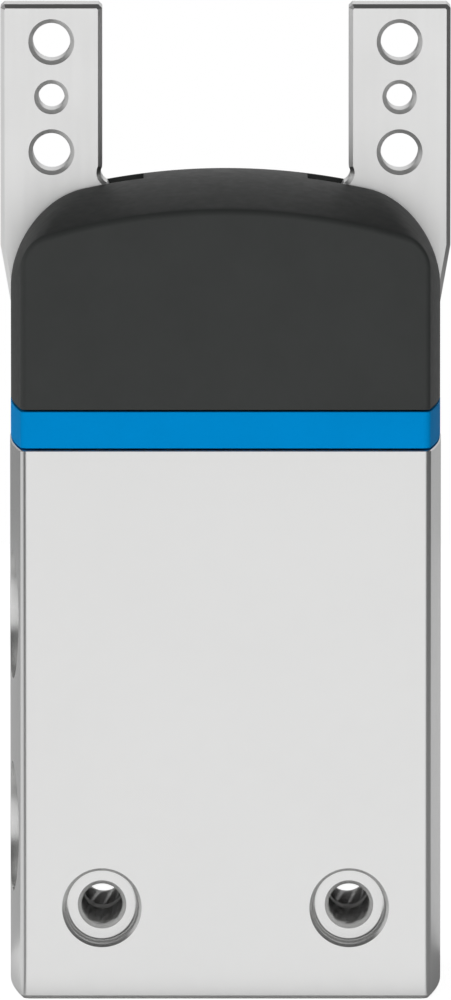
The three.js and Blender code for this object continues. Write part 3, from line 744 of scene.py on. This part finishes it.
def cover_solid(name, wall, bottom, fillet, lower_edge=0.0):
    """The cover's closed outer form, moved in by the wall, from the bottom height upwards.

    Each section's edge is found along rays that fan out from a point low in its middle, with most
    of the rays on the shoulder.
    """
    y, inset = cover_sections(wall, fillet)
    low_share = 0.3
    centre_z = cover_low.z + low_share * (cover_high.z - cover_low.z)
    shoulder_start = math.radians(6)
    shoulder_end = math.radians(54)
    flank = np.linspace(0, shoulder_start, 4)
    shoulder = np.linspace(shoulder_start, shoulder_end, 84)
    crown = np.linspace(shoulder_end, math.pi / 2, 26)
    angle = np.concatenate([flank, shoulder[1:], crown[1:]])[None, :]
    low = np.zeros((len(y), angle.shape[1]))
    high = np.full_like(low, 2 * HALF_WIDTH)
    halvings = 50
    for _ in range(halvings):
        middle = (low + high) / 2
        ray_x = middle * np.cos(angle)
        ray_z = centre_z + middle * np.sin(angle)
        outside = cover_limit(ray_x, y, ray_z, inset) > 0
        high = np.where(outside, middle, high)
        low = np.where(outside, low, middle)
    x = low * np.cos(angle)
    z = centre_z + low * np.sin(angle)
    least_foot = 0.1
    foot_height = max(lower_edge, least_foot)
    foot_x = np.repeat(x[:, :1], 2, axis=1) - np.array([[lower_edge, 0]])
    foot_z = np.repeat([[bottom, bottom + foot_height]], len(y), axis=0)
    x = np.concatenate([foot_x, x], axis=1)
    z = np.concatenate([foot_z, z], axis=1)
    x = np.concatenate([x, -x[:, -2::-1]], axis=1)
    z = np.concatenate([z, z[:, -2::-1]], axis=1)
    rings = [
        [(x[i, j], y[i, 0], z[i, j]) for j in range(x.shape[1])] for i in range(len(y))
    ]
    return stacked(name, rings)


def on_slot_edge(x, y, z):
    """Whether a point is on an edge of the cover's jaw slots, above the cover's foot."""
    across = abs(x) - SLOT_INNER_X
    along_side = across > -NEAR and abs(abs(y) - SLOT_HALF_WIDTH) < NEAR
    at_end = abs(across) < NEAR and abs(y) < SLOT_HALF_WIDTH + NEAR
    above_foot = z > cover_low.z + 0.5
    return (along_side or at_end) and above_foot


def make_cover():
    cover = cover_solid("cover_shell", 0, cover_low.z, COVER_FILLET, COVER_LOWER_EDGE)
    below = cover_low.z - WELL_BEYOND
    tools = [cover_solid("cover_tool", COVER_WALL, below, COVER_INNER_FILLET)]
    for side in (-1, 1):
        reach = 2 * WELL_BEYOND
        edges = sorted((side * SLOT_INNER_X, side * (HALF_WIDTH + reach)))
        low = (edges[0], -SLOT_HALF_WIDTH, cover_low.z - reach)
        high = (edges[1], SLOT_HALF_WIDTH, cover_high.z + reach)
        tools.append(block("slot_tool", low, high))
    carve(cover, *tools)
    bevel_edges(cover, SLOT_EDGE, on_slot_edge)
    finish_piece(cover, "housing", "cover_plastic", "cover")


# ---------------------------------------------------------------- jaws

def jaw_outline():
    """The right jaw's outline in X and Z, from its outer top corner."""
    start = math.atan2(
        math.sqrt(NOTCH["radius"] ** 2 - (JAW_INNER_X - NOTCH["x"]) ** 2),
        JAW_INNER_X - NOTCH["x"],
    )
    end = math.atan2(LIP[1] - NOTCH["z"], LIP[0] - NOTCH["x"])
    notch = arc(NOTCH["x"], NOTCH["z"], NOTCH["radius"], start, end, 16)
    hub = arc(pivot.x, pivot.z, HUB_RADIUS, *map(math.radians, HUB_ARC), 110)
    top = [
        (jaw_high.x, jaw_high.z - JAW_CORNER),
        (jaw_high.x - JAW_CORNER, jaw_high.z),
        (JAW_INNER_X + JAW_CORNER, jaw_high.z),
        (JAW_INNER_X, jaw_high.z - JAW_CORNER),
    ]
    return top + notch + hub + [TAPER_END, (jaw_high.x, TAPER_START_Z)]


def countersunk_tool(x, z, radius, sink=JAW_CHAMFER, segments=64):
    """A hole through a jaw, chamfered at both faces."""
    face = (jaw_high.y - jaw_low.y) / 2
    stations = [
        (0, -face - BEYOND),
        (radius + sink + BEYOND, -face - BEYOND),
        (radius, -face + sink),
        (radius, face - sink),
        (radius + sink + BEYOND, face + BEYOND),
        (0, face + BEYOND),
    ]
    return revolved("hole_tool", stations, "Y", (x, z), segments)


def make_jaw(side, name):
    outline = [(side * x, z) for x, z in jaw_outline()]
    jaw = plate_y("jaw_plate_" + name, outline, jaw_low.y, jaw_high.y, JAW_CHAMFER)
    pin = sum(corners("drive_pin_" + name), Vector()) / 2
    tools = [
        countersunk_tool(side * pivot.x, pivot.z, **BUSH_HOLE),
        countersunk_tool(pin.x, pin.z, **DRIVE_PIN_HOLE),
    ]
    for step in (-1, 0, 1):
        radius = FINGER_HOLE_RADIUS if step else FINGER_PIN_HOLE_RADIUS
        z = FINGER_HOLE_MID_Z + step * FINGER_HOLE_PITCH
        tools.append(countersunk_tool(side * FINGER_HOLE_X, z, radius))
    carve(jaw, *tools)
    finish_piece(jaw, "jaw_" + name, "jaw_steel", "jaw_" + name)


# ---------------------------------------------------------------- turned inner pieces

def turned_profile(node, axis):
    """A turned CAD node's profile, (radius, height) in order, and its centre.

    The profile is the chain of edges in the half plane through the axis, Y or Z, towards +X. It
    ends on the axis, or closes on itself.
    """
    low, high = corners(node)
    middle = (low + high) / 2
    centre = (middle.x, middle.z if axis == "Y" else middle.y)
    mesh = frame["nodes"][node].data
    places = {}
    for vertex in mesh.vertices:
        x, y, z = vertex.co / MM
        up, height = (z, y) if axis == "Y" else (y, z)
        if abs(up - centre[1]) < NEAR and x - centre[0] > -NEAR:
            places[vertex.index] = (round(max(x - centre[0], 0), 3), round(height, 3))
    links = {}
    for edge in mesh.edges:
        start, end = (places.get(index) for index in edge.vertices)
        if start and end and start != end and (start[0] > 0 or end[0] > 0):
            links.setdefault(start, set()).add(end)
            links.setdefault(end, set()).add(start)
    at_axis = [place for place in links if place[0] == 0]
    chain = [min(at_axis or links)]
    while len(chain) < len(links):
        chain.append(min(links[chain[-1]] - set(chain)))
    return (chain if at_axis else chain + chain[:1]), centre


def make_turned(node, axis, body):
    """A smooth round piece in place of a faceted turned node."""
    profile, centre = turned_profile(node, axis)
    piece = revolved("round_" + node, profile, axis, centre, 96)
    finish_piece(piece, body, node_slots[node], node)


def make_o_ring(node, body):
    """A ring of round section in place of a faceted one."""
    low, high = corners(node)
    section = (high.z - low.z) / 2
    middle = (low + high) / 2
    profile = arc(high.x - section, middle.z, section, 0, 2 * math.pi, 24)
    piece = revolved("round_" + node, profile, "Z", (middle.x, middle.y), 128)
    finish_piece(piece, body, node_slots[node], node)


# ---------------------------------------------------------------- camera, floor and light

# The camera stands in front and a little above; its place is in metres, its tilt in degrees.
CAMERA = {"place": (0, -2.045587, 0.272156), "tilt": 84.046, "sensor": 36, "lens": 605.9}

# A large soft light, its place and target in metres.
FILL_LIGHT = {"place": (0.1, -1.5, 0.9), "target": (0, 0, 0.06), "size": 1.4, "energy": 3.6}

STUDIO_BASE = 0.08
# The studio's soft light zones: direction, sideways narrowing, the angles in degrees that each is
# full out to and faded out at, and strength.
STUDIO_ZONES = (
    ((0.14, -1, -0.05), 1.3, 26, 44, 0.87),
    ((-1, 0.1, 0.1), 1, 25, 43, 0.62),
    ((0, 1, 0.5), 1, 14, 30, 0.6),
    ((0, 1, -0.05), 1, 25, 42, 0.2),
    ((0.45, 1, -0.05), 1, 12, 30, 0.2),
)
# The floor glows with that light as painted light standing in for a lit floor, less of it within this many
# millimetres of the gripper's foot as a painted contact shadow.
FLOOR_PAINTED_SHADOW = {"width": 14, "near": 0.4, "far": 0.8}
# How brightly the floor glows, and the studio shines, where the camera looks straight at them.
FLOOR_SEEN = 0.85
STUDIO_SEEN = 1


def make_camera():
    data = bpy.data.cameras.new("camera")
    data.sensor_fit = "VERTICAL"
    data.sensor_height = CAMERA["sensor"]
    data.lens = CAMERA["lens"]
    data.clip_end = 20
    camera = bpy.data.objects.new("camera", data)
    camera.location = CAMERA["place"]
    camera.rotation_euler = (math.radians(CAMERA["tilt"]), 0, 0)
    bpy.context.scene.collection.objects.link(camera)
    bpy.context.scene.camera = camera


class Light:
    """Helpers for the node trees of the floor and the studio around it."""

    def __init__(self, tree):
        self.tree = tree

    def vector(self, operation, value, *operand):
        node = self.tree.nodes.new("ShaderNodeVectorMath")
        node.operation = operation
        self.tree.links.new(value, node.inputs[0])
        if operand:
            node.inputs[1].default_value = operand[0]
        return node

    def smooth(self, value, start, end, low, high):
        node = self.tree.nodes.new("ShaderNodeMapRange")
        node.interpolation_type = "SMOOTHSTEP"
        node.inputs["From Min"].default_value = start
        node.inputs["From Max"].default_value = end
        node.inputs["To Min"].default_value = low
        node.inputs["To Max"].default_value = high
        self.tree.links.new(value, node.inputs["Value"])
        return node.outputs["Result"]

    def combine(self, operation, first, second):
        node = self.tree.nodes.new("ShaderNodeMath")
        node.operation = operation
        for socket, value in zip(node.inputs, (first, second)):
            if isinstance(value, (int, float)):
                socket.default_value = value
            else:
                self.tree.links.new(value, socket)
        return node.outputs["Value"]

    def zones(self, direction):
        """How bright the studio is in a direction."""
        total = STUDIO_BASE
        for axis, narrowing, full, faded, strength in STUDIO_ZONES:
            stretched = self.vector("MULTIPLY", direction, (narrowing, 1, 1)).outputs["Vector"]
            unit = self.vector("NORMALIZE", stretched).outputs["Vector"]
            facing = self.vector("DOT_PRODUCT", unit, Vector(axis).normalized())
            edges = (math.cos(math.radians(faded)), math.cos(math.radians(full)))
            zone = self.smooth(facing.outputs["Value"], *edges, 0, strength)
            total = self.combine("ADD", total, zone)
        return total

    def at_least_when_seen(self, value, brightness):
        """The value, raised to a brightness for what the camera sees directly."""
        path = self.tree.nodes.new("ShaderNodeLightPath").outputs["Is Camera Ray"]
        seen = self.combine("MULTIPLY", path, brightness)
        return self.combine("MAXIMUM", value, seen)


def make_floor():
    """A round pale floor that shows white, with painted light on it and a painted contact shadow that darkens it
    under the gripper.
    """
    reach = 500
    rim = [(x, y, 0) for x, y in arc(0, 0, reach, 0, 2 * math.pi, 96)[:-1]]
    floor = new_piece("floor", rim, [list(range(len(rim)))])
    material = bpy.data.materials.new("floor")
    material.use_nodes = True
    tree = material.node_tree
    shader = tree.nodes["Principled BSDF"]
    shader.inputs["Base Color"].default_value = (0.8, 0.8, 0.8, 1)
    shader.inputs["Roughness"].default_value = 0.9
    shader.inputs["Specular IOR Level"].default_value = 0
    shader.inputs["Emission Color"].default_value = (1, 1, 1, 1)
    light = Light(tree)
    place = tree.nodes.new("ShaderNodeTexCoord").outputs["Object"]
    foot = Vector((HALF_WIDTH, DEPTH / 2, 0)) * MM
    lowered = light.vector("MINIMUM", place, foot).outputs["Vector"]
    nearest = light.vector("MAXIMUM", lowered, -foot).outputs["Vector"]
    away = light.vector("SUBTRACT", place)
    tree.links.new(nearest, away.inputs[1])
    distance = light.vector("LENGTH", away.outputs["Vector"]).outputs["Value"]
    levels = (FLOOR_PAINTED_SHADOW["near"], FLOOR_PAINTED_SHADOW["far"])
    # painted contact shadow: the floor's glow is weaker near the gripper's foot, where shade would fall
    fade = light.smooth(distance, 0, FLOOR_PAINTED_SHADOW["width"] * MM, *levels)
    # painted light: for rays other than the camera's, the floor glows with the studio's light zones
    painted_floor_light = light.combine("MULTIPLY", light.zones(away.outputs["Vector"]), fade)
    painted_floor_light = light.at_least_when_seen(painted_floor_light, FLOOR_SEEN)
    tree.links.new(painted_floor_light, shader.inputs["Emission Strength"])
    floor.data.materials.append(material)


def make_fill_light():
    """A soft light in front that lifts the plastic parts and does not show in the metal."""
    data = bpy.data.lights.new("fill", "AREA")
    data.energy = FILL_LIGHT["energy"]
    data.size = FILL_LIGHT["size"]
    light = bpy.data.objects.new("fill", data)
    light.location = FILL_LIGHT["place"]
    aim = Vector(FILL_LIGHT["target"]) - light.location
    light.rotation_euler = aim.to_track_quat("-Z", "Y").to_euler()
    light.visible_glossy = False
    bpy.context.scene.collection.objects.link(light)


def make_world():
    """A dim studio with soft light zones, white where the camera looks straight at it."""
    world = bpy.data.worlds.new("studio")
    bpy.context.scene.world = world
    world.use_nodes = True
    tree = world.node_tree
    light = Light(tree)
    direction = tree.nodes.new("ShaderNodeTexCoord").outputs["Generated"]
    brightness = light.at_least_when_seen(light.zones(direction), STUDIO_SEEN)
    tree.links.new(brightness, tree.nodes["Background"].inputs["Color"])


# ---------------------------------------------------------------- the gripper

make_camera()
make_floor()
make_world()
make_fill_light()
bpy.context.scene.view_settings.view_transform = "Standard"

make_housing()
make_ring()
make_cover()
for node in ("bearing_cap", "rod_bush", "rod_seal"):
    make_turned(node, "Z", "housing")
make_o_ring("bearing_cap_seal", "housing")
for node in ("piston", "piston_seal_lower", "piston_seal_upper", "piston_magnet"):
    make_turned(node, "Z", "piston")
for side, name in ((-1, "left"), (1, "right")):
    make_turned("dowel_" + name, "Z", "housing")
    make_turned("pivot_pin_" + name, "Y", "housing")
    make_jaw(side, name)
    make_turned("jaw_bush_" + name, "Y", "jaw_" + name)
    make_turned("drive_pin_" + name, "Y", "jaw_" + name)

for node, piece in frame["nodes"].items():
    if not piece.hide_render:
        piece.data.materials.clear()
        piece.data.materials.append(MATERIALS[node_slots[node]])
